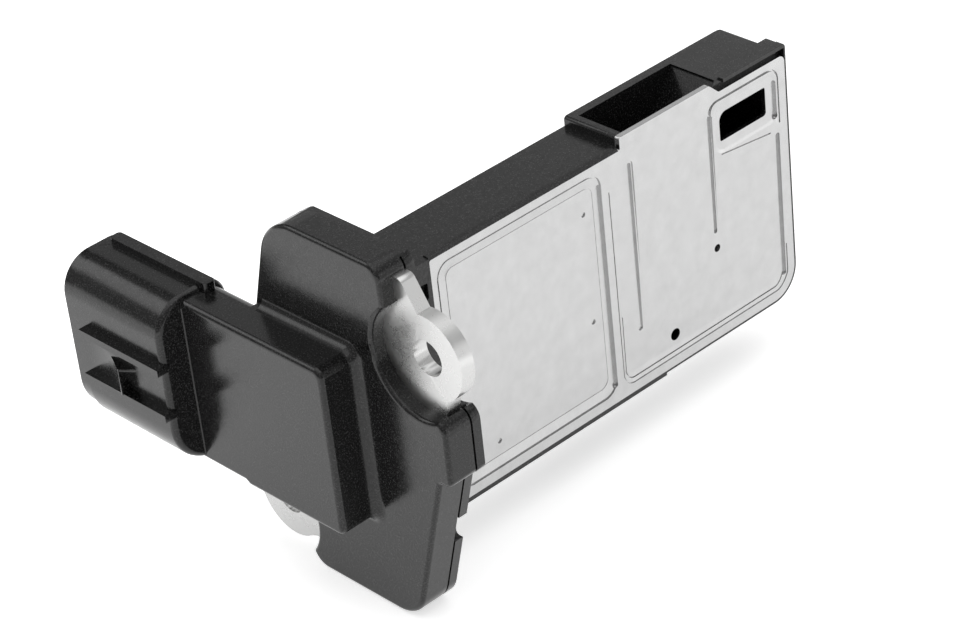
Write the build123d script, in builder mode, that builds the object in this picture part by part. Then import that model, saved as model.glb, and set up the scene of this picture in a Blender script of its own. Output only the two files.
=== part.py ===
from build123d import *
import os

# Slot-type mass airflow sensor. Units: mm.
# Frame: origin at the centre of the probe's neck on the mounting face of the
# flange. +X runs along the probe towards its tip, +Z is up, and the metal base
# plate of the probe faces -Y.

# ---------------------------------------------------------------- dimensions
# flange
FL_FRONT = -5.7          # front face of the flange block (X)
FL_H = 25.5              # half height of the flange (Z)
FL_Y_TOP = -11.1         # near side of the flange at the top
FL_EDGE_R = 0.6
GROOVE_X0, GROOVE_X1 = -1.6, -1.3
GROOVE_D = 0.4

# screw ears of the metal mounting plate
EAR_A = (-15.68, 14.10)  # (Y, Z) of the upper screw hole
EAR_B = (14.99, -19.14)  # (Y, Z) of the lower screw hole
EAR_R = 5.75
EAR_HOLE_R = 2.4
EAR_X0, EAR_X1 = -3.6, -1.5
POCKET_R = 7.5

# arm that carries the connector
ARM_FRONT = -11.5
ARM_BACK = -5.3
ARM_Y0, ARM_Y1 = -5.24, 20.5
ARM_ZT, ARM_ZB = 11.95, -11.95
ARM_ZB2 = -11.5
ARM_STEP_Y = 12.3
ARM_R = 0.7
ARM_ROOT_R = 1.5
ARM_REAR_R = 1.7

# connector shell
SH_X0, SH_X1 = -15.6, -4.2
SH_ZT, SH_ZB = 12.6, -11.55
SH_RT, SH_RB, SH_RB2 = 4.7, 6.3, 4.6
SH_RT2 = 3.0
SH_Y0, SH_Y1 = 20.5, 39.7
SH_EDGE_R = 0.8
SH_WALL = 1.5
SOCKET_FLOOR = 24.2
LIP_Y = 37.4
LIP_STEP = 0.25
RIB_H = 1.2
RIB_1 = (3.75, 4.7, 35.9)    # (bottom Z, top Z, end Y)
RIB_2 = (-3.0, -2.0, 36.3)
RIB_Y0 = 20.2
NUB_H = 1.4
NUB_Y0, NUB_Y1 = 28.4, 31.5
NUB_Z = 1.8
RAIL_Y0, RAIL_Y1 = 19.1, 38.0
RAIL_X0, RAIL_X1 = -8.4, -6.7
RAIL_Z = 13.4

# neck and probe body
BODY_X0 = 7.38           # where the metal base plate starts
BODY_BACK = 4.9
BODY_FRONT = -4.1        # plastic face under the base plate
NECK_FRONT = -4.9
NECK_BOTTOM = -18.6
TOP_Z = 18.15
RAISED_Z = 19.5
BOTTOM_Z = -18.5
BOTTOM_Z2 = -18.15
STEP_X = 40.4            # where the raised part of the body starts
STEP_X2 = 45.5
TIP_X = 69.9
LIP_X = 71.5
LIP_Y1 = -1.9
PLATE_T = 0.8
PLATE_X1 = 71.2
PLATE_TOP = 18.08
PLATE_BOTTOM = -17.85
PLATE_TOP1 = 17.9        # the same for its part over the electronics
RIM_TOP, RIM_X1 = 18.35, 39.95   # plastic rim above that part
TIP_R = 1.0

# inside
CH_X0, CH_X1 = 9.4, 38.6     # electronics chamber
CH_Z = 14.6
REBATE = 1.3                 # step round the rear opening of the chamber
COVER_T = 1.1
COVER_GAP = 0.15
SEAL_T = 0.25
LEDGE_X = 12.6
LEDGE_Y = -0.8
BEAD_X0, BEAD_X1 = 8.2, 40.6     # sealing bead, outside edges
BEAD_Z = 16.9
BEAD_W, BEAD_D = 0.9, 0.6
PASSAGE_X0 = 41.7
PASSAGE_BACK = 3.5
TERM_T = 0.8
TERM_W = 1.5
TERM_X = -10.65
TERM_Y = -1.9
TERM_TIP_Y = 34.2
TERM_END_X = 12.2
PITCH = 3.5
TERM_Z0 = 0.5
BOARD_T = 0.8
BOND_T = 0.2
BOARD_X0, BOARD_X1 = 13.2, 37.6
BOARD_Z = 13.4
TONGUE_X1 = 45.6
TONGUE_Z = 2.0
GEL_TOP = 1.2
THERM_Z = 9.5

TERM_Z = [TERM_Z0 + (i - 2) * PITCH for i in range(5)]
board_y0 = BODY_FRONT + BOND_T
board_top = board_y0 + BOARD_T

os.makedirs("parts", exist_ok=True)

# flange outline in (Y, Z), with a corner radius for each point
FLANGE_PTS = [
    ((FL_Y_TOP, FL_H), 2.2),
    ((FL_Y_TOP, 14.1), 0),
    ((-15.68, 14.1), 0),
    ((-15.68, 7.35), 0),
    ((-19.6, 7.35), 2.0),
    ((-19.55, -1.9), 1.0),
    ((-17.56, -1.9), 0.5),
    ((-10.56, -FL_H), 5.0),
    ((9.15, -FL_H), 2.6),
    ((9.15, -19.14), 0),
    ((14.99, -19.14), 0),
    ((14.99, -12.2), 0),
    ((17.9, -12.2), 2.0),
    ((17.85, 1.9), 0.5),
    ((16.2, 1.9), 0.5),
    ((9.2, FL_H), 7.0),
]

# air passage outline in (X, Z): in at the top, down past the sensing element,
# round the bottom and up to the outlet behind the window of the base plate
PASSAGE_PTS = [
    ((PASSAGE_X0, RAISED_Z + 2), 0),
    ((PASSAGE_X0, -14.6), 5.0),
    ((68.9, -14.6), 5.0),
    ((68.9, 15.3), 1.5),
    ((58.4, 15.3), 1.5),
    ((58.4, -6.6), 3.0),
    ((47.9, -6.6), 3.0),
    ((47.9, 4.0), 4.0),
    ((58.68, 19.2), 0.4),
    ((58.68, RAISED_Z + 2), 0),
]

# base plate outline in (X, Z)
PLATE_OUT = [
    ((BODY_X0, PLATE_TOP1), 0.3), ((40.3, PLATE_TOP1), 0.3), ((40.3, 19.65), 0.3),
    ((56.9, 19.65), 0.5), ((58.6, PLATE_TOP), 0.5), ((PLATE_X1, PLATE_TOP), 1.0),
    ((PLATE_X1, PLATE_BOTTOM), 4.2), ((BODY_X0, PLATE_BOTTOM), 0.3),
]

# window of the base plate in (X, Z)
WINDOW = [
    ((58.5, 14.85), 1.3), ((67.35, 14.85), 0.3), ((67.35, 10.75), 0.5), ((58.5, 10.75), 0.3),
]

# mounting plate outline in (Y, Z)
EARS_OUT = [
    ((5.0, 23.6), 1.0), ((-12.4, 23.6), 1.0), ((-15.1, 19.3), 0),
    (EAR_A, 0), ((-18.4, 9.2), 0), ((-18.1, 7.6), 0.5), ((-17.4, 4.6), 0.6),
    ((-14.6, 0.5), 1.5), ((-8.4, -21.0), 1.5), ((-6.5, -23.4), 1.5),
    ((10.5, -23.4), 0.8), ((13.0, -24.3), 0), (EAR_B, 0), ((16.6, -13.9), 0),
    ((16.6, -8.5), 0.6), ((13.2, -4.0), 1.5), ((12.6, 1.5), 1.5),
    ((7.0, 20.5), 1.5),
]

# ------------------------------------------------------------ mounting plate
# One stamped steel plate, moulded into the flange. Its two ends stand out of
# the flange as screw ears. The window lets the terminals and the neck through.
with BuildPart() as mounting_plate:
    with BuildSketch(Plane.YZ.offset(EAR_X0)):
        with BuildLine():
            FilletPolyline(*[p for p, r in EARS_OUT],
                           radius=[r for p, r in EARS_OUT], close=True)
        make_face()
        with Locations(EAR_A, EAR_B):
            Circle(EAR_R)
        Rectangle(12.0, 39.0, mode=Mode.SUBTRACT)
        with Locations(EAR_A, EAR_B):
            Circle(EAR_HOLE_R, mode=Mode.SUBTRACT)
    extrude(amount=EAR_X1 - EAR_X0)
mounting_plate.part.label = "mounting_plate"

# ----------------------------------------------------------------- terminals
# Five stamped L-shaped terminals, side by side. Each pin stands in the
# connector socket and its other end lies on a ledge in the chamber.
terminals = []
for i, z in enumerate(TERM_Z):
    with BuildPart() as terminal:
        with BuildSketch(Plane.XY.offset(z - TERM_T / 2)):
            with BuildLine():
                FilletPolyline(
                    (TERM_X, TERM_TIP_Y - 1.0), (TERM_X + 0.45, TERM_TIP_Y),
                    (TERM_X + TERM_W - 0.45, TERM_TIP_Y),
                    (TERM_X + TERM_W, TERM_TIP_Y - 1.0),
                    (TERM_X + TERM_W, TERM_Y + TERM_W),
                    (TERM_END_X, TERM_Y + TERM_W), (TERM_END_X, TERM_Y),
                    (TERM_X, TERM_Y),
                    radius=[0, 0, 0, 0, 0.5, 0, 0, 1.2], close=True)
            make_face()
        extrude(amount=TERM_T)
    terminal.part.label = "terminal_%d" % (i + 1)
    terminals.append(terminal.part)

# ---------------------------------------------------------------- base plate
# Stamped aluminium plate that closes the front of the probe and carries the
# circuit board. Its window is the outlet of the air passage.
with BuildPart() as base_plate:
    with BuildSketch(Plane.XZ.offset(-BODY_FRONT)):
        with BuildLine():
            FilletPolyline(*[p for p, r in PLATE_OUT],
                           radius=[r for p, r in PLATE_OUT], close=True)
        make_face()
        with BuildLine():
            FilletPolyline(*[p for p, r in WINDOW], radius=[r for p, r in WINDOW], close=True)
        make_face(mode=Mode.SUBTRACT)
        with Locations((56.7, -4.45)):
            Circle(0.55, mode=Mode.SUBTRACT)
        with Locations((47.9, -13.45)):
            Circle(0.85, mode=Mode.SUBTRACT)
    extrude(amount=PLATE_T)
    # pressed panel over the electronics: a gutter, a slope, a fine line
    with BuildSketch(Plane.XZ.offset(-NECK_FRONT)):
        with Locations((22.35, 0.175)):
            RectangleRounded(28.3, 33.25, 2.3)
            RectangleRounded(27.7, 32.65, 2.0, mode=Mode.SUBTRACT)
    extrude(amount=-0.2, mode=Mode.SUBTRACT)
    with BuildSketch(Plane.XZ.offset(-NECK_FRONT - 0.03)):
        with Locations((22.35, 0.175)):
            RectangleRounded(28.2, 33.15, 2.25)
    with BuildSketch(Plane.XZ.offset(-NECK_FRONT - 0.36)):
        with Locations((22.5, 0.175)):
            RectangleRounded(25.4, 30.15, 1.4)
    loft(mode=Mode.SUBTRACT)
    with BuildSketch(Plane.XZ.offset(-NECK_FRONT)):
        with Locations((22.35, 0.175)):
            RectangleRounded(28.2, 33.15, 2.25)
    extrude(amount=-0.03, mode=Mode.SUBTRACT)
    with BuildSketch(Plane.XZ.offset(-NECK_FRONT)):
        with Locations((22.5, 0.175)):
            RectangleRounded(25.4, 30.15, 1.4)
            RectangleRounded(25.1, 29.85, 1.25, mode=Mode.SUBTRACT)
    extrude(amount=-0.41, mode=Mode.SUBTRACT)
    # second pressed panel, over the air passage; it fades out upwards
    tilt = Plane(origin=(0, NECK_FRONT, 11.0), x_dir=(1, 0, 0), z_dir=(0, -1, -0.012))
    with BuildSketch(Plane.XZ.offset(-NECK_FRONT + 0.02)):
        with Locations((53.8, -1.95)):
            RectangleRounded(32.2, 29.0, 1.6)
    with BuildSketch(tilt):
        with Locations((53.8, -12.95)):
            RectangleRounded(30.4, 26.0, 1.0)
    loft(mode=Mode.SUBTRACT)
    # fine lines along its lower border
    with BuildSketch(Plane.XZ.offset(-NECK_FRONT)):
        with BuildLine():
            FilletPolyline((37.68, 13.0), (37.68, -16.48), (69.9, -16.48), (69.9, -10.0),
                           (69.72, -10.0), (69.72, -16.3), (37.86, -16.3), (37.86, 13.0),
                           radius=[0, 2.0, 2.6, 0, 0, 2.42, 1.82, 0], close=True)
        make_face()
    extrude(amount=-0.16, mode=Mode.SUBTRACT)
    with BuildSketch(Plane.XZ.offset(-NECK_FRONT)):
        with BuildLine():
            FilletPolyline((38.35, -6.0), (38.35, -15.8), (69.1, -15.8), (69.1, -8.0),
                           (68.94, -8.0), (68.94, -15.64), (38.51, -15.64), (38.51, -6.0),
                           radius=[0, 1.4, 2.0, 0, 0, 1.84, 1.24, 0], close=True)
        make_face()
    extrude(amount=-0.38, mode=Mode.SUBTRACT)
    # shallow pressed frame round the window
    with BuildSketch(Plane.XZ.offset(-NECK_FRONT)):
        with Locations((63.4, 12.75)):
            RectangleRounded(12.4, 7.6, 1.9)
    with BuildSketch(Plane.XZ.offset(-NECK_FRONT - 0.14)):
        with Locations((63.4, 12.75)):
            RectangleRounded(11.4, 6.6, 1.5)
    loft(mode=Mode.SUBTRACT)
    # bead from the long groove round the top of that frame
    with BuildSketch(Plane.XZ.offset(-NECK_FRONT)):
        with BuildLine():
            FilletPolyline((56.2, 12.0), (56.2, 17.1), (69.85, 17.1), (69.85, 8.6),
                           (69.6, 8.6), (69.6, 16.75), (56.9, 16.75), (56.9, 12.0),
                           radius=[0, 1.9, 2.0, 0, 0, 1.7, 1.25, 0], close=True)
        make_face()
    extrude(amount=-0.24, mode=Mode.SUBTRACT)
    # line under the window
    with BuildSketch(Plane.XZ.offset(-NECK_FRONT)):
        with Locations((63.2, 8.35)):
            SlotOverall(9.6, 0.2, rotation=-7)
    extrude(amount=-0.2, mode=Mode.SUBTRACT)
    # pressed grooves and dimples in the outside face
    with BuildSketch(Plane.XZ.offset(-NECK_FRONT)):
        with Locations((41.65, 2.9)):
            SlotOverall(25.6, 1.3, rotation=90)
        with Locations((56.55, 6.6)):
            SlotOverall(17.7, 1.0, rotation=90)
    extrude(amount=-0.14, mode=Mode.SUBTRACT)
    with BuildSketch(Plane.XZ.offset(-NECK_FRONT)):
        with Locations((36.05, -0.35)):
            SlotOverall(30.4, 0.9, rotation=90)
        with Locations((41.65, 2.9)):
            SlotOverall(25.0, 0.8, rotation=90)
        with Locations((56.55, 6.6)):
            SlotOverall(17.4, 0.6, rotation=90)
        with Locations((68.9, 12.3)):
            SlotOverall(5.7, 0.95, rotation=90)
        with Locations((69.2, -3.75)):
            SlotOverall(22.0, 0.75, rotation=90)
    extrude(amount=-0.45, mode=Mode.SUBTRACT)
    with BuildSketch(Plane.XZ.offset(-NECK_FRONT)):
        with Locations((33.4, 11.7), (33.5, -4.2), (15.6, -12.8)):
            Circle(0.62)
    extrude(amount=-0.2, mode=Mode.SUBTRACT)
    with BuildSketch(Plane.XZ.offset(-NECK_FRONT)):
        with Locations((33.4, 11.7), (33.5, -4.2), (15.6, -12.8)):
            Circle(0.36)
    extrude(amount=-0.55, mode=Mode.SUBTRACT)
base_plate.part.label = "base_plate"

# ------------------------------------------------------------- circuit board
# Ceramic board on a thin adhesive layer. Its tongue reaches into the passage.
with BuildPart() as circuit_board:
    with BuildSketch(Plane.XZ.offset(-board_y0)):
        with Locations(((BOARD_X0 + BOARD_X1) / 2, 0)):
            Rectangle(BOARD_X1 - BOARD_X0, 2 * BOARD_Z)
        with Locations(((BOARD_X1 + TONGUE_X1) / 2, 0)):
            Rectangle(TONGUE_X1 - BOARD_X1, 2 * TONGUE_Z)
    extrude(amount=-BOARD_T)
circuit_board.part.label = "circuit_board"

with BuildPart() as board_bond:
    with BuildSketch(Plane.XZ.offset(-BODY_FRONT)):
        with Locations(((BOARD_X0 + BOARD_X1) / 2, 0)):
            Rectangle(BOARD_X1 - BOARD_X0 - 0.4, 2 * BOARD_Z - 0.4)
        with Locations(((BOARD_X1 + TONGUE_X1) / 2 - 0.2, 0)):
            Rectangle(TONGUE_X1 - BOARD_X1, 2 * TONGUE_Z - 0.4)
    extrude(amount=-BOND_T)
board_bond.part.label = "board_bond"

with BuildPart() as control_chip:
    with BuildSketch(Plane.XZ.offset(-board_top)):
        with Locations((25.5, -2.0)):
            Rectangle(8.0, 8.0)
    extrude(amount=-1.3)
    chamfer(control_chip.faces().sort_by(Axis.Y)[-1].edges(), 0.25)
control_chip.part.label = "control_chip"

with BuildPart() as sensing_chip:
    with BuildSketch(Plane.XZ.offset(-board_top)):
        with Locations((43.9, 0)):
            Rectangle(2.6, 2.6)
    extrude(amount=-0.4)
sensing_chip.part.label = "sensing_chip"

with BuildPart() as chip_capacitors:
    with BuildSketch(Plane.XZ.offset(-board_top)):
        with Locations((18.2, 9.8), (21.8, 9.8), (25.4, 9.8), (33.6, -8.6)):
            Rectangle(1.6, 3.0)
    extrude(amount=-1.4)
chip_capacitors.part.label = "chip_capacitors"

with BuildPart() as chip_resistors:
    with BuildSketch(Plane.XZ.offset(-board_top)):
        with Locations((18.2, -10.2), (21.0, -10.2), (23.8, -10.2), (26.6, -10.2),
                       (32.0, 4.6), (34.8, 4.6)):
            Rectangle(1.2, 2.2)
    extrude(amount=-0.5)
chip_resistors.part.label = "chip_resistors"

# wires from the terminal ends to the board
WIRE_T = 0.3
term_top = TERM_Y + TERM_W
with BuildPart() as bond_wires:
    for z in TERM_Z:
        with BuildSketch(Plane.XY.offset(z - WIRE_T / 2)):
            with BuildLine():
                FilletPolyline((11.3, term_top), (11.3, term_top + 0.9),
                               (14.6, term_top + 0.9), (14.6, board_top),
                               (14.3, board_top), (14.3, term_top + 0.6),
                               (11.6, term_top + 0.6), (11.6, term_top),
                               radius=[0, 0.55, 0.55, 0, 0, 0.25, 0.25, 0],
                               close=True)
            make_face()
        extrude(amount=WIRE_T)
bond_wires.part.label = "bond_wires"

# air temperature thermistor in the passage, on two leads from the board
with BuildPart() as thermistor:
    with BuildSketch(Plane.YZ.offset(43.4)):
        with Locations((-0.4, THERM_Z)):
            Ellipse(0.7, 1.1)
    extrude(amount=2.4)
    fillet(thermistor.edges().group_by(Axis.X)[0] + thermistor.edges().group_by(Axis.X)[-1], 0.35)
thermistor.part.label = "thermistor"

with BuildPart() as thermistor_leads:
    for z in (THERM_Z - 0.55, THERM_Z + 0.55):
        with BuildSketch(Plane.XY.offset(z - 0.2)):
            with BuildLine():
                FilletPolyline((43.4, -0.6), (43.4, -0.2), (36.4, -0.2),
                               (36.4, board_top), (36.8, board_top), (36.8, -0.6),
                               radius=[0, 0, 0.5, 0, 0, 0.3], close=True)
            make_face()
        extrude(amount=0.4)
thermistor_leads.part.label = "thermistor_leads"

# arm that carries the connector, filleted into a slab of the flange block
with BuildPart() as arm:
    with BuildSketch(Plane.YZ.offset(FL_FRONT)):
        with BuildLine():
            Polyline((-8.0, -14.0), (9.0, -14.0), (11.5, 0), (11.5, 14.0), (-8.0, 14.0),
                     close=True)
        make_face()
    extrude(amount=1.5)
    with BuildSketch(Plane.YZ.offset(ARM_FRONT)):
        with BuildLine():
            FilletPolyline((ARM_Y0, ARM_ZT), (ARM_Y0, ARM_ZB), (ARM_STEP_Y, ARM_ZB),
                           (ARM_STEP_Y + 0.7, ARM_ZB2), (ARM_Y1 + 2, ARM_ZB2),
                           (ARM_Y1 + 2, ARM_ZT),
                           radius=[1.4, 1.0, 0, 0, 0, 0], close=True)
        make_face()
    extrude(amount=ARM_BACK - ARM_FRONT)
    fillet([e for e in arm.edges().filter_by_position(
                Axis.X, FL_FRONT - 0.01, FL_FRONT + 0.01)
            if abs(e.center().Z) < 12.1 and -5.4 < e.center().Y < 8.5
            and e.bounding_box().min.Y < 5], ARM_ROOT_R)
    fillet(arm.edges()
           .filter_by_position(Axis.X, ARM_FRONT - 0.01, ARM_FRONT + 0.01)
           .filter_by_position(Axis.Y, -5.4, 20.5), ARM_R)
    # rounded rear edges, beside the flange block
    for sz, zz in ((1, ARM_ZT), (-1, ARM_ZB2)):
        with BuildSketch(Plane.XZ.offset(-12.6)):
            with BuildLine():
                l1 = Line((ARM_BACK - ARM_REAR_R, zz), (ARM_BACK - ARM_REAR_R, zz + sz * 0.5))
                l2 = Line(l1 @ 1, (ARM_BACK + 0.5, zz + sz * 0.5))
                l3 = Line(l2 @ 1, (ARM_BACK + 0.5, zz - sz * ARM_REAR_R))
                l4 = Line(l3 @ 1, (ARM_BACK, zz - sz * ARM_REAR_R))
                k = ARM_REAR_R * (1 - 0.70710678)
                ThreePointArc(l4 @ 1, (ARM_BACK - k, zz - sz * k), l1 @ 0)
            make_face()
        extrude(amount=-(SH_Y0 + 4 - 12.6), mode=Mode.SUBTRACT)

# connector shell, an oval tube along Y, with its end wall rounded
with BuildPart() as shell:
    with BuildSketch(Plane.XZ.offset(-SH_Y0)):
        with BuildLine():
            FilletPolyline((SH_X0, SH_ZT), (SH_X0, SH_ZB), (SH_X1, SH_ZB), (SH_X1, SH_ZT),
                           radius=[SH_RT, SH_RB, SH_RB2, SH_RT2], close=True)
        make_face()
    extrude(amount=-(LIP_Y - SH_Y0))
    fillet(shell.faces().sort_by(Axis.Y)[0].edges(), SH_EDGE_R)

# ------------------------------------------------------------------- housing
# One moulding: flange block, connector arm and shell, neck and probe body.
with BuildPart() as housing:
    # flange block, with screw-head pockets round the two ears
    with BuildSketch(Plane.YZ.offset(FL_FRONT)):
        with BuildLine():
            FilletPolyline(*[p for p, r in FLANGE_PTS],
                           radius=[r for p, r in FLANGE_PTS], close=True)
        make_face()
        with Locations(EAR_A, EAR_B):
            Circle(POCKET_R, mode=Mode.SUBTRACT)
    extrude(amount=-FL_FRONT)

    fillet(housing.faces().sort_by(Axis.X)[0].edges(), FL_EDGE_R)
    add(arm.part)

    # shut-off groove round the sides of the block
    with BuildSketch(Plane.YZ.offset(GROOVE_X0)):
        with BuildLine():
            FilletPolyline(*[p for p, r in FLANGE_PTS],
                           radius=[r for p, r in FLANGE_PTS], close=True)
        make_face()
        offset(amount=-GROOVE_D, kind=Kind.INTERSECTION, mode=Mode.SUBTRACT)
        with Locations((0, FL_H), (0, -FL_H)):
            Rectangle(60, 1.2, mode=Mode.SUBTRACT)
    extrude(amount=GROOVE_X1 - GROOVE_X0, mode=Mode.SUBTRACT)
    # notches in the rear layer of the flange, one on each long side
    with BuildSketch(Plane.YZ.offset(GROOVE_X1)):
        with Locations((-14.9, -12.4), (13.6, 12.4)):
            RectangleRounded(4.4, 4.1, 0.5)
    extrude(amount=-GROOVE_X1 + 1, mode=Mode.SUBTRACT)
    # the rear layer is a little lower at the top
    with BuildSketch(Plane.YZ.offset(GROOVE_X1)):
        with Locations((0, FL_H + 0.6)):
            Rectangle(40, 2.0)
    extrude(amount=-GROOVE_X1 + 1, mode=Mode.SUBTRACT)

    # connector shell
    add(shell.part)
    # small chamfer where the shell's end wall meets the arm
    with BuildSketch(Plane.XY.offset(ARM_ZB2 + 0.8)):
        with BuildLine():
            Polyline((ARM_FRONT + 0.2, SH_Y0 + 0.2), (ARM_FRONT - 0.14, SH_Y0 + 0.2),
                     (ARM_FRONT - 0.14, SH_Y0), (ARM_FRONT, SH_Y0 - 0.14),
                     (ARM_FRONT + 0.2, SH_Y0 - 0.14), close=True)
        make_face()
    extrude(amount=ARM_ZT - ARM_ZB2 - 1.7)
    # slightly smaller rim at the mouth
    with BuildSketch(Plane.XZ.offset(-LIP_Y)):
        with BuildLine():
            FilletPolyline((SH_X0 + LIP_STEP, SH_ZT - LIP_STEP), (SH_X0 + LIP_STEP, SH_ZB + LIP_STEP),
                           (SH_X1 - LIP_STEP, SH_ZB + LIP_STEP), (SH_X1 - LIP_STEP, SH_ZT - LIP_STEP),
                           radius=[SH_RT, SH_RB, SH_RB2, SH_RT2], close=True)
        make_face()
    extrude(amount=-(SH_Y1 - LIP_Y))
    # rail on the top, running over the arm
    with BuildSketch(Plane.XY.offset(ARM_ZT - 1)):
        with Locations(((RAIL_X0 + RAIL_X1) / 2, (RAIL_Y0 + RAIL_Y1) / 2)):
            RectangleRounded(RAIL_X1 - RAIL_X0, RAIL_Y1 - RAIL_Y0, 0.5)
    extrude(amount=RAIL_Z - ARM_ZT + 1)
    # two ribs on the front of the shell
    for z0, z1, y1 in (RIB_1, RIB_2):
        with BuildSketch(Plane.YZ.offset(SH_X0 - RIB_H)):
            with Locations(((RIB_Y0 + y1) / 2, (z0 + z1) / 2)):
                Rectangle(y1 - RIB_Y0, z1 - z0)
        extrude(amount=RIB_H + 0.8)
    # lock nub: a ramp with a steep end
    with BuildSketch(Plane.XY.offset(RIB_2[1] - 0.1)):
        with BuildLine():
            Polyline((SH_X0 + 0.6, NUB_Y0), (SH_X0 - NUB_H, NUB_Y0), (SH_X0 - NUB_H, NUB_Y0 + 0.1),
                     (SH_X0, NUB_Y1), (SH_X0 + 0.6, NUB_Y1), close=True)
        make_face()
    extrude(amount=NUB_Z - RIB_2[1] + 0.1)
    # and the web behind that end
    with BuildSketch(Plane.XY.offset(NUB_Z - 0.4)):
        with BuildLine():
            Polyline((SH_X0 + 0.6, NUB_Y0 + 0.2), (SH_X0 - NUB_H + 0.1, NUB_Y0 + 0.2),
                     (SH_X0 - NUB_H + 0.1, NUB_Y0), (SH_X0, NUB_Y0 - 1.9),
                     (SH_X0 + 0.6, NUB_Y0 - 1.9), close=True)
        make_face()
    extrude(amount=0.4)
    # socket
    with BuildSketch(Plane.XZ.offset(-SOCKET_FLOOR)):
        with BuildLine():
            FilletPolyline((SH_X0 + SH_WALL, SH_ZT - SH_WALL), (SH_X0 + SH_WALL, SH_ZB + SH_WALL),
                           (SH_X1 - SH_WALL, SH_ZB + SH_WALL), (SH_X1 - SH_WALL, SH_ZT - SH_WALL),
                           radius=[SH_RT - SH_WALL, SH_RB - SH_WALL, SH_RB2 - SH_WALL,
                                   SH_RT2 - SH_WALL], close=True)
        make_face()
    extrude(amount=-(SH_Y1 - SOCKET_FLOOR + 1), mode=Mode.SUBTRACT)

    # neck
    with BuildSketch(Plane.YZ.offset(-1.0)):
        with Locations(((NECK_FRONT + BODY_BACK) / 2, (TOP_Z + NECK_BOTTOM) / 2)):
            Rectangle(BODY_BACK - NECK_FRONT, TOP_Z - NECK_BOTTOM)
    extrude(amount=BODY_X0 + 1.0)
    with BuildSketch(Plane.XZ.offset(-NECK_FRONT)):
        with Locations((6.0, 14.05)):
            RectangleRounded(1.4, 2.3, 0.3)
    extrude(amount=-1.2, mode=Mode.SUBTRACT)
    # body
    with BuildSketch(Plane.XZ.offset(-BODY_FRONT)):
        with BuildLine():
            FilletPolyline((6.0, TOP_Z), (STEP_X, TOP_Z), (STEP_X, RAISED_Z), (TIP_X, RAISED_Z),
                           (TIP_X, BOTTOM_Z2), (STEP_X2, BOTTOM_Z2), (STEP_X2, BOTTOM_Z),
                           (6.0, BOTTOM_Z),
                           radius=[0, 0, 0.5, 0.45, 4.5, 0, 0, 0], close=True)
        make_face()
    extrude(amount=-(BODY_BACK - BODY_FRONT))
    # lip at the tip, beside the base plate
    with BuildSketch(Plane.XZ.offset(-BODY_FRONT)):
        with BuildLine():
            FilletPolyline((60.0, RAISED_Z), (LIP_X, RAISED_Z), (LIP_X, BOTTOM_Z2), (60.0, BOTTOM_Z2),
                           radius=[0, 0.45, 4.5, 0], close=True)
        make_face()
    extrude(amount=-(LIP_Y1 - BODY_FRONT))
    # thin rim beside the base plate's right and lower edges
    with BuildSketch(Plane.XZ.offset(-NECK_FRONT)):
        with BuildLine():
            FilletPolyline((BODY_X0, RAISED_Z), (LIP_X, RAISED_Z), (LIP_X, BOTTOM_Z2),
                           (STEP_X2, BOTTOM_Z2), (STEP_X2, BOTTOM_Z), (BODY_X0, BOTTOM_Z),
                           radius=[0, 0.45, 4.5, 0, 0, 0], close=True)
        make_face()
        with BuildLine():
            FilletPolyline((0.0, RAISED_Z + 2), (PLATE_X1 + 0.02, RAISED_Z + 2),
                           (PLATE_X1 + 0.02, PLATE_BOTTOM - 0.02), (0.0, PLATE_BOTTOM - 0.02),
                           radius=[0, 0, 4.22, 0], close=True)
        make_face(mode=Mode.SUBTRACT)
    extrude(amount=-(BODY_FRONT - NECK_FRONT))
    # and along its upper edge
    with BuildSketch(Plane.XZ.offset(-NECK_FRONT)):
        with Locations(((BODY_X0 + RIM_X1) / 2, (PLATE_TOP1 + 0.02 + RIM_TOP) / 2)):
            Rectangle(RIM_X1 - BODY_X0, RIM_TOP - PLATE_TOP1 - 0.02)
    extrude(amount=-1.0)
    with BuildSketch(Plane.YZ.offset(BODY_X0)):
        with BuildLine():
            Polyline((NECK_FRONT - 0.1, RIM_TOP + 0.1), (NECK_FRONT - 0.1, RIM_TOP - 0.36),
                     (NECK_FRONT, RIM_TOP - 0.36), (NECK_FRONT + 0.12, RIM_TOP - 0.12),
                     (NECK_FRONT + 0.36, RIM_TOP), (NECK_FRONT + 0.36, RIM_TOP + 0.1), close=True)
        make_face()
    extrude(amount=RIM_X1 - BODY_X0 + 0.1, mode=Mode.SUBTRACT)
    # rim above the base plate's upper edge
    with BuildSketch(Plane.XZ.offset(-NECK_FRONT)):
        with BuildLine():
            Polyline((59.6, RAISED_Z), (LIP_X - 0.2, RAISED_Z), (LIP_X - 0.2, 19.0), (59.6, 19.0),
                     close=True)
        make_face()
    extrude(amount=NECK_FRONT - BODY_FRONT - 0.5)
    # rounded rear corner of the tip
    with BuildSketch(Plane.XY.offset(-22.0)):
        with BuildLine():
            t1 = Line((TIP_X - TIP_R, BODY_BACK), (TIP_X - TIP_R, BODY_BACK + 0.4))
            t2 = Line(t1 @ 1, (TIP_X + 0.4, BODY_BACK + 0.4))
            t3 = Line(t2 @ 1, (TIP_X + 0.4, BODY_BACK - TIP_R))
            t4 = Line(t3 @ 1, (TIP_X, BODY_BACK - TIP_R))
            k = TIP_R * (1 - 0.70710678)
            ThreePointArc(t4 @ 1, (TIP_X - k, BODY_BACK - k), t1 @ 0)
        make_face()
    extrude(amount=44.0, mode=Mode.SUBTRACT)
    # air passage
    with BuildSketch(Plane.XZ.offset(-BODY_FRONT)):
        with BuildLine():
            FilletPolyline(*[p for p, r in PASSAGE_PTS],
                           radius=[r for p, r in PASSAGE_PTS], close=True)
        make_face()
    extrude(amount=-(PASSAGE_BACK - BODY_FRONT), mode=Mode.SUBTRACT)
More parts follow.
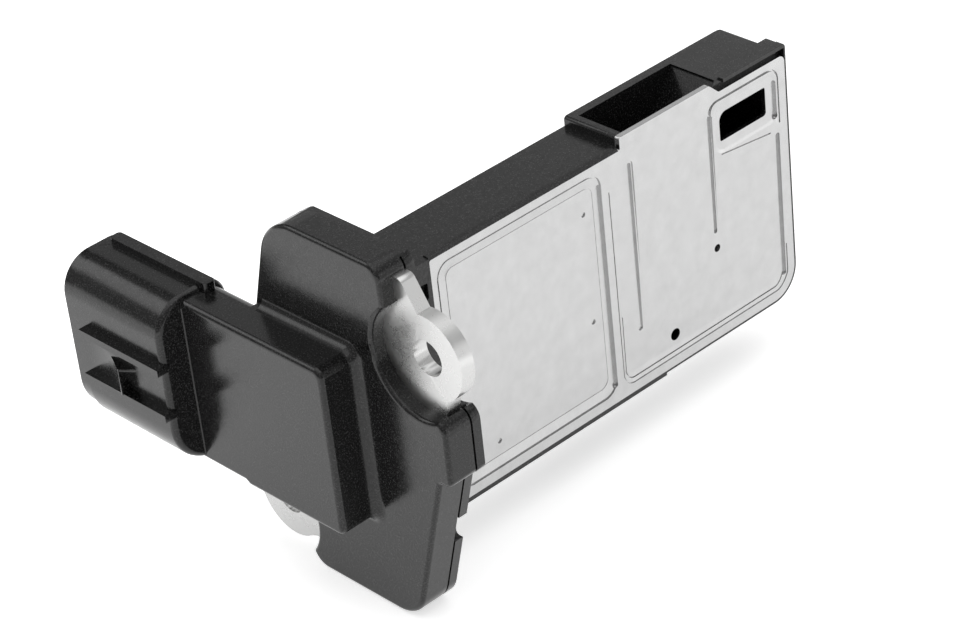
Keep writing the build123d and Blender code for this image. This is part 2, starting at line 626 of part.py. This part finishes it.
    # electronics chamber, its ledge for the terminal ends, and its rear rebate
    with BuildSketch(Plane.XZ.offset(-BODY_FRONT)):
        with Locations(((LEDGE_X + CH_X1) / 2, 0)):
            RectangleRounded(CH_X1 - LEDGE_X, 2 * CH_Z, 0.8)
    extrude(amount=-(BODY_BACK - BODY_FRONT), mode=Mode.SUBTRACT)
    with BuildSketch(Plane.XZ.offset(-LEDGE_Y)):
        with Locations(((CH_X0 + CH_X1) / 2, 0)):
            RectangleRounded(CH_X1 - CH_X0, 2 * CH_Z, 0.8)
    extrude(amount=-(BODY_BACK - LEDGE_Y), mode=Mode.SUBTRACT)
    with BuildSketch(Plane.XZ.offset(-(BODY_BACK - COVER_T - SEAL_T))):
        with Locations(((CH_X0 + CH_X1) / 2, 0)):
            RectangleRounded(CH_X1 - CH_X0 + 2 * REBATE, 2 * (CH_Z + REBATE), 1.0)
    extrude(amount=-(COVER_T + SEAL_T), mode=Mode.SUBTRACT)
    # slot for the board's tongue
    with BuildSketch(Plane.XZ.offset(-BODY_FRONT)):
        with Locations(((CH_X1 + PASSAGE_X0) / 2, 0)):
            Rectangle(PASSAGE_X0 - CH_X1 + 1.6, 2 * TONGUE_Z + 0.3)
    extrude(amount=-(board_top + 0.1 - BODY_FRONT), mode=Mode.SUBTRACT)
    # groove for the sealing bead under the base plate
    with BuildSketch(Plane.XZ.offset(-BODY_FRONT)):
        with Locations(((BEAD_X0 + BEAD_X1) / 2, 0)):
            RectangleRounded(BEAD_X1 - BEAD_X0, 2 * BEAD_Z, 2.0)
            RectangleRounded(BEAD_X1 - BEAD_X0 - 2 * BEAD_W, 2 * (BEAD_Z - BEAD_W), 1.1,
                             mode=Mode.SUBTRACT)
    extrude(amount=-BEAD_D, mode=Mode.SUBTRACT)
    # room for the pieces that are moulded in
    add(mounting_plate.part, mode=Mode.SUBTRACT)
    for t in terminals:
        add(t, mode=Mode.SUBTRACT)
    add(thermistor_leads.part, mode=Mode.SUBTRACT)
housing.part.label = "housing"

# -------------------------------------------------------- seals and rear cover
with BuildPart() as plate_sealant:
    with BuildSketch(Plane.XZ.offset(-BODY_FRONT)):
        with Locations(((BEAD_X0 + BEAD_X1) / 2, 0)):
            RectangleRounded(BEAD_X1 - BEAD_X0, 2 * BEAD_Z, 2.0)
            RectangleRounded(BEAD_X1 - BEAD_X0 - 2 * BEAD_W, 2 * (BEAD_Z - BEAD_W), 1.1,
                             mode=Mode.SUBTRACT)
        with Locations((BEAD_X1, 0)):
            Rectangle(4, 2 * TONGUE_Z + 0.3, mode=Mode.SUBTRACT)
    extrude(amount=-BEAD_D)
plate_sealant.part.label = "plate_sealant"

with BuildPart() as rear_cover:
    with BuildSketch(Plane.XZ.offset(-(BODY_BACK - COVER_T))):
        with Locations(((CH_X0 + CH_X1) / 2, 0)):
            RectangleRounded(CH_X1 - CH_X0 + 2 * (REBATE - COVER_GAP),
                             2 * (CH_Z + REBATE - COVER_GAP), 0.9)
    extrude(amount=-COVER_T)
rear_cover.part.label = "rear_cover"

with BuildPart() as cover_sealant:
    with BuildSketch(Plane.XZ.offset(-(BODY_BACK - COVER_T - SEAL_T))):
        with Locations(((CH_X0 + CH_X1) / 2, 0)):
            RectangleRounded(CH_X1 - CH_X0 + 2 * (REBATE - COVER_GAP),
                             2 * (CH_Z + REBATE - COVER_GAP), 0.9)
            RectangleRounded(CH_X1 - CH_X0 + 0.2, 2 * CH_Z + 0.2, 0.8,
                             mode=Mode.SUBTRACT)
    extrude(amount=-SEAL_T)
cover_sealant.part.label = "cover_sealant"

# ------------------------------------------------------------- silicone gel
with BuildPart() as silicone_gel:
    with BuildSketch(Plane.XZ.offset(-BODY_FRONT)):
        with Locations(((LEDGE_X + CH_X1) / 2, 0)):
            RectangleRounded(CH_X1 - LEDGE_X, 2 * CH_Z, 0.8)
    extrude(amount=-(GEL_TOP - BODY_FRONT))
    with BuildSketch(Plane.XZ.offset(-LEDGE_Y)):
        with Locations(((CH_X0 + CH_X1) / 2, 0)):
            RectangleRounded(CH_X1 - CH_X0, 2 * CH_Z, 0.8)
    extrude(amount=-(GEL_TOP - LEDGE_Y))
    for p in (circuit_board, board_bond, control_chip, chip_capacitors,
              chip_resistors, bond_wires, thermistor_leads):
        add(p.part, mode=Mode.SUBTRACT)
    for t in terminals:
        add(t, mode=Mode.SUBTRACT)
silicone_gel.part.label = "silicone_gel"

for piece in (housing, mounting_plate, base_plate, plate_sealant, rear_cover,
              cover_sealant, circuit_board, board_bond, control_chip, sensing_chip,
              chip_capacitors, chip_resistors, bond_wires, thermistor,
              thermistor_leads, silicone_gel):
    export_step(piece.part, "parts/%s.step" % piece.part.label)
for t in terminals:
    export_step(t, "parts/%s.step" % t.label)
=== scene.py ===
import math

import bpy
from mathutils import Matrix, Vector


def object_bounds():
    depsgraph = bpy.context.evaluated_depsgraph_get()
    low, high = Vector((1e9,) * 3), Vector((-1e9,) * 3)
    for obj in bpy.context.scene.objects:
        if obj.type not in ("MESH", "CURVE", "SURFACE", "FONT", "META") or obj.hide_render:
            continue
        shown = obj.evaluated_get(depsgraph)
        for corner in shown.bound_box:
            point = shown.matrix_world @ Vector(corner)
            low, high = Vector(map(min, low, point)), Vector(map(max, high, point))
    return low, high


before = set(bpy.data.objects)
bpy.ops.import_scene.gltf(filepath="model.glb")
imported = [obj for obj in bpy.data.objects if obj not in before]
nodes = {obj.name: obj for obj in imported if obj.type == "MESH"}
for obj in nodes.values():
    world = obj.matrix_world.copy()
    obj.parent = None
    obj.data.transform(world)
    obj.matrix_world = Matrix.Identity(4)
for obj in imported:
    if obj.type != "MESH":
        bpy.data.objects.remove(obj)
cad_box = [[float(v) for v in c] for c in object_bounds()]
MM = 0.001


# ------------------------------------------------------------------ materials
class Mat:
    """A node material with a few helpers."""

    def __init__(self, name):
        self.m = bpy.data.materials.new(name)
        self.m.use_nodes = True
        self.t = self.m.node_tree
        self.p = self.t.nodes["Principled BSDF"]
        self.coord = self.t.nodes.new("ShaderNodeTexCoord")

    def node(self, kind, **inputs):
        n = self.t.nodes.new(kind)
        for k, v in inputs.items():
            key = k.replace("_", " ")
            if key in n.inputs:
                n.inputs[key].default_value = v
            else:
                setattr(n, k, v)
        return n

    def link(self, a, b):
        self.t.links.new(a, b)

    def mapped(self, scale):
        mp = self.t.nodes.new("ShaderNodeMapping")
        mp.inputs["Scale"].default_value = scale
        self.link(self.coord.outputs["Object"], mp.inputs["Vector"])
        return mp.outputs["Vector"]

    def noise(self, scale, detail=3.0, rough=0.55, vec=None):
        n = self.node("ShaderNodeTexNoise", Scale=scale, Detail=detail, Roughness=rough)
        self.link(vec if vec is not None else self.coord.outputs["Object"], n.inputs["Vector"])
        return n.outputs["Fac"]

    def ramp(self, fac, stops):
        r = self.t.nodes.new("ShaderNodeValToRGB")
        e = r.color_ramp.elements
        while len(e) < len(stops):
            e.new(0.5)
        for el, (pos, col) in zip(e, stops):
            el.position = pos
            el.color = (*col, 1.0) if len(col) == 3 else col
        self.link(fac, r.inputs["Fac"])
        return r.outputs["Color"]

    def remap(self, fac, lo, hi, a=0.0, b=1.0):
        r = self.t.nodes.new("ShaderNodeMapRange")
        r.inputs["From Min"].default_value = a
        r.inputs["From Max"].default_value = b
        r.inputs["To Min"].default_value = lo
        r.inputs["To Max"].default_value = hi
        self.link(fac, r.inputs["Value"])
        return r.outputs["Result"]

    def bump(self, height, strength, distance, normal=None):
        b = self.t.nodes.new("ShaderNodeBump")
        b.inputs["Strength"].default_value = strength
        b.inputs["Distance"].default_value = distance
        self.link(height, b.inputs["Height"])
        if normal is not None:
            self.link(normal, b.inputs["Normal"])
        return b.outputs["Normal"]


def grey(v):
    return (v, v, v)


def plastic(name, base=0.0035, rough=(0.15, 0.23), grain=0.8):
    """Glossy black glass-filled moulding: pale specks of filler over a faint orange peel."""
    m = Mat(name)
    big = m.noise(130.0, 3.0)
    fine = m.noise(4600.0, 2.0, 0.75)
    mid = m.noise(1100.0, 3.0)
    m.link(m.ramp(fine, [(0.44, grey(base * 0.5)), (0.57, grey(base * 3.5)), (0.68, grey(base * 12.0))]),
           m.p.inputs["Base Color"])
    m.link(m.remap(mid, rough[0], rough[1], 0.3, 0.7), m.p.inputs["Roughness"])
    n = m.bump(big, 0.3, 0.00005)
    n = m.bump(fine, grain, 0.000008, n)
    m.link(n, m.p.inputs["Normal"])
    m.p.inputs["IOR"].default_value = 1.5
    m.p.inputs["Specular IOR Level"].default_value = 0.385
    return m.m


def metal(name, base=(0.66, 0.66, 0.66), rough=(0.2, 0.27), stretch=(1, 1, 1), grain=0.25,
          mottle=0.05, wave=0.3):
    """Rolled sheet: mottled roughness, fine speckle, faint rolling lines and waviness."""
    m = Mat(name)
    blot = m.noise(420.0, 5.0, 0.65)
    speck = m.noise(3200.0, 2.0, 0.6)
    lines = m.noise(900.0, 3.0, 0.6, m.mapped(stretch))
    sheet = m.noise(38.0, 2.0, 0.4)
    m.link(m.ramp(blot, [(0.3, tuple(c * (1 - mottle) for c in base)),
                         (0.7, tuple(min(1, c * (1 + mottle * 0.5)) for c in base))]),
           m.p.inputs["Base Color"])
    m.p.inputs["Metallic"].default_value = 1.0
    m.link(m.remap(blot, rough[0], rough[1], 0.3, 0.7), m.p.inputs["Roughness"])
    n = m.bump(sheet, wave, 0.0002)
    n = m.bump(lines, grain * 0.5, 0.000004, n)
    n = m.bump(speck, grain, 0.000004, n)
    m.link(n, m.p.inputs["Normal"])
    return m.m


def simple(name, col, rough, metallic=0.0, scale=900.0, spread=0.12, bump=0.2):
    m = Mat(name)
    n = m.noise(scale, 3.0)
    m.link(m.ramp(n, [(0.3, tuple(c * (1 - spread) for c in col)), (0.7, tuple(min(1, c * (1 + spread)) for c in col))]),
           m.p.inputs["Base Color"])
    m.link(m.remap(n, rough * 0.85, rough * 1.15, 0.3, 0.7), m.p.inputs["Roughness"])
    m.p.inputs["Metallic"].default_value = metallic
    m.link(m.bump(n, bump, 0.00002), m.p.inputs["Normal"])
    return m.m


black = plastic("black_moulding")
cover_black = plastic("cover_moulding", base=0.0045, rough=(0.2, 0.28))
alu = metal("plate_aluminium", base=(0.515, 0.515, 0.515), stretch=(0.25, 1, 3), mottle=0.07)
steel = metal("ear_steel", base=(0.58, 0.58, 0.575), rough=(0.24, 0.34), stretch=(1, 1, 1), grain=0.15)
sealant = simple("sealant", grey(0.03), 0.5)
board = simple("board_ceramic", (0.72, 0.71, 0.66), 0.5)
bond = simple("bond_adhesive", grey(0.3), 0.6)
chip = simple("chip_package", grey(0.02), 0.45)
silicon = simple("sensing_silicon", (0.08, 0.08, 0.12), 0.18)
capacitor = simple("capacitor_ceramic", (0.45, 0.31, 0.2), 0.5)
resistor = simple("resistor_black", grey(0.03), 0.4)
wire = simple("wire_aluminium", grey(0.8), 0.3, 1.0)
tin = simple("terminal_tin", (0.72, 0.71, 0.66), 0.28, 1.0)
bead = simple("thermistor_glass", (0.28, 0.18, 0.1), 0.2)
gel = simple("gel", (0.55, 0.57, 0.58), 0.2)
gel.node_tree.nodes["Principled BSDF"].inputs["Transmission Weight"].default_value = 0.6

finish = {
    "housing": black, "rear_cover": cover_black, "base_plate": alu, "mounting_plate": steel,
    "plate_sealant": sealant, "cover_sealant": sealant, "circuit_board": board, "board_bond": bond,
    "control_chip": chip, "sensing_chip": silicon, "chip_capacitors": capacitor,
    "chip_resistors": resistor, "bond_wires": wire, "thermistor": bead,
    "thermistor_leads": wire, "silicone_gel": gel,
}
for i in range(1, 6):
    finish["terminal_%d" % i] = tin
for name, ob in nodes.items():
    ob.data.materials.clear()
    ob.data.materials.append(finish[name])
    ob.visible_shadow = True


def soften(ob, width, angle=28.0, segments=2, smooth=True):
    """Small rounds on the sharp edges of a moulding."""
    w = ob.modifiers.new("weld", "WELD")
    w.merge_threshold = 0.000002
    b = ob.modifiers.new("bevel", "BEVEL")
    b.width = width
    b.segments = segments
    b.limit_method = "ANGLE"
    b.angle_limit = math.radians(angle)
    b.harden_normals = False
    b.use_clamp_overlap = True
    if not smooth:
        return
    for p in ob.data.polygons:
        p.use_smooth = True
    n = ob.modifiers.new("normals", "WEIGHTED_NORMAL")
    n.keep_sharp = True


# --------------------------------------------------------------------- stage
low = cad_box[0][2]
bpy.ops.mesh.primitive_plane_add(size=4.0, location=(0, 0, low - 0.0002))
floor = bpy.context.object
floor.name = "floor"
fm = Mat("floor_white_painted_glow")
fm.link(fm.ramp(fm.noise(3.0, 2.0), [(0.3, grey(0.93)), (0.7, grey(0.95))]), fm.p.inputs["Base Color"])
fm.p.inputs["Roughness"].default_value = 0.9
fm.p.inputs["Specular IOR Level"].default_value = 0.2
fm.p.inputs["Emission Color"].default_value = (1, 1, 1, 1)
# painted light: the floor glows by its own emission, a pool of light brightest behind on the left,
# darker in front on the right, fading out far away
sep = fm.t.nodes.new("ShaderNodeSeparateXYZ")
fm.link(fm.coord.outputs["Object"], sep.inputs[0])
diff = fm.t.nodes.new("ShaderNodeMath")
diff.operation = "SUBTRACT"
fm.link(sep.outputs["Y"], diff.inputs[0])
fm.link(sep.outputs["X"], diff.inputs[1])
near = fm.remap(diff.outputs[0], 0.50, 0.84, -0.03, 0.08)
far = fm.remap(diff.outputs[0], 0.5, 0.0, -0.30, -0.17)
side = fm.t.nodes.new("ShaderNodeMath")
side.operation = "ADD"
fm.link(near, side.inputs[0])
fm.link(far, side.inputs[1])
length = fm.t.nodes.new("ShaderNodeVectorMath")
length.operation = "LENGTH"
fm.link(fm.coord.outputs["Object"], length.inputs[0])
fade = fm.remap(length.outputs["Value"], 1.0, 0.1, 0.35, 0.9)
mul = fm.t.nodes.new("ShaderNodeMath")
mul.operation = "MULTIPLY"
fm.link(side.outputs[0], mul.inputs[0])
fm.link(fade, mul.inputs[1])
# the painted glow is fed into the floor's emission strength
fm.link(mul.outputs[0], fm.p.inputs["Emission Strength"])
floor.data.materials.append(fm.m)

# overcast dome: dim at the horizon, brighter overhead, with a dark flag low at the back
world = bpy.data.worlds.new("studio")
bpy.context.scene.world = world
world.use_nodes = True
wt = world.node_tree
wc = wt.nodes.new("ShaderNodeTexCoord")
ws = wt.nodes.new("ShaderNodeSeparateXYZ")
wr = wt.nodes.new("ShaderNodeValToRGB")
wt.links.new(wc.outputs["Generated"], ws.inputs[0])
wt.links.new(ws.outputs["Z"], wr.inputs["Fac"])
we = wr.color_ramp.elements
we.new(0.5)
we.new(0.5)
we.new(0.5)
for el, (pos, v) in zip(we, [(0.0, 0.36), (0.25, 0.42), (0.53, 0.50), (0.76, 0.72), (0.86, 1.45)]):
    el.position = pos
    el.color = (v, v, v, 1)


def wmath(op, a, b=None):
    n = wt.nodes.new("ShaderNodeMath")
    n.operation = op
    for i, v in enumerate((a, b)):
        if v is None:
            continue
        if isinstance(v, (int, float)):
            n.inputs[i].default_value = v
        else:
            wt.links.new(v, n.inputs[i])
    return n.outputs[0]


def wband(v, lo, hi, out_lo, out_hi):
    r = wt.nodes.new("ShaderNodeMapRange")
    r.interpolation_type = "SMOOTHSTEP"
    for k, x in (("From Min", lo), ("From Max", hi), ("To Min", out_lo), ("To Max", out_hi)):
        r.inputs[k].default_value = x
    wt.links.new(v, r.inputs["Value"])
    return r.outputs["Result"]


az = wmath("ARCTAN2", ws.outputs["Y"], ws.outputs["X"])
off = wmath("ABSOLUTE", wmath("SUBTRACT", az, math.radians(75.0)))
flag = wband(off, math.radians(8.0), math.radians(17.0), 0.85, 0.0)
low_part = wband(ws.outputs["Z"], 0.6, 0.85, 1.0, 0.0)
keep = wmath("SUBTRACT", 1.0, wmath("MULTIPLY", flag, low_part))
# and a pale card low on the right of it
side_off = wmath("ABSOLUTE", wmath("SUBTRACT", az, math.radians(42.0)))
card = wmath("MULTIPLY", wband(side_off, math.radians(9.0), math.radians(15.0), 1.5, 0.0),
             wband(ws.outputs["Z"], 0.38, 0.48, 1.0, 0.0))
keep = wmath("ADD", keep, card)
# and a pale backdrop in front on the right
side_off = wmath("ABSOLUTE", wmath("ADD", az, math.radians(50.0)))
card = wmath("MULTIPLY", wband(side_off, math.radians(30.0), math.radians(40.0), 1.7, 0.0),
             wband(ws.outputs["Z"], 0.33, 0.5, 1.0, 0.0))
keep = wmath("ADD", keep, card)
tint = wt.nodes.new("ShaderNodeVectorMath")
tint.operation = "SCALE"
wt.links.new(wr.outputs["Color"], tint.inputs[0])
wt.links.new(keep, tint.inputs["Scale"])
wt.links.new(tint.outputs[0], wt.nodes["Background"].inputs["Color"])
wt.nodes["Background"].inputs["Strength"].default_value = 1.0


def area(name, loc, target, size, power, size_y=None):
    d = bpy.data.lights.new(name, "AREA")
    d.energy = power
    d.size = size
    if size_y:
        d.shape = "RECTANGLE"
        d.size_y = size_y
    o = bpy.data.objects.new(name, d)
    bpy.context.collection.objects.link(o)
    o.location = loc
    o.rotation_euler = (Vector(target) - Vector(loc)).to_track_quat("-Z", "Y").to_euler()
    return o


# soft box behind on the left. The floor is lit by the dome and by its own painted glow.
for lamp in (area("key", (-0.28, 0.58, 0.52), (0, 0, 0), 0.56, 0.8, 0.26),):
    lamp.visible_diffuse = False

# -------------------------------------------------------------------- camera
cam_d = bpy.data.cameras.new("camera")
cam_d.sensor_width = 36.0
cam_d.lens = 120.36
cam_d.clip_start = 0.01
cam = bpy.data.objects.new("camera", cam_d)
bpy.context.collection.objects.link(cam)
right = Vector((0.7144, -0.6932, -0.0957))
down = Vector((-0.4298, -0.3267, -0.8417))
fwd = Vector((0.5522, 0.6425, -0.5314))
rot = Matrix((right, -down, -fwd)).transposed()
cam.matrix_world = Matrix.Translation(Vector((-202.4, -257.0, 214.55)) * MM) @ rot.to_4x4()
bpy.context.scene.camera = cam
bpy.context.scene.view_settings.view_transform = "Standard"

for n in ("housing", "rear_cover"):
    soften(nodes[n], 0.00018)
soften(nodes["mounting_plate"], 0.00012)
# pressed flats stay flat: no shading runs across the sheet's shallow slopes
soften(nodes["base_plate"], 0.00007, angle=40.0, smooth=False)
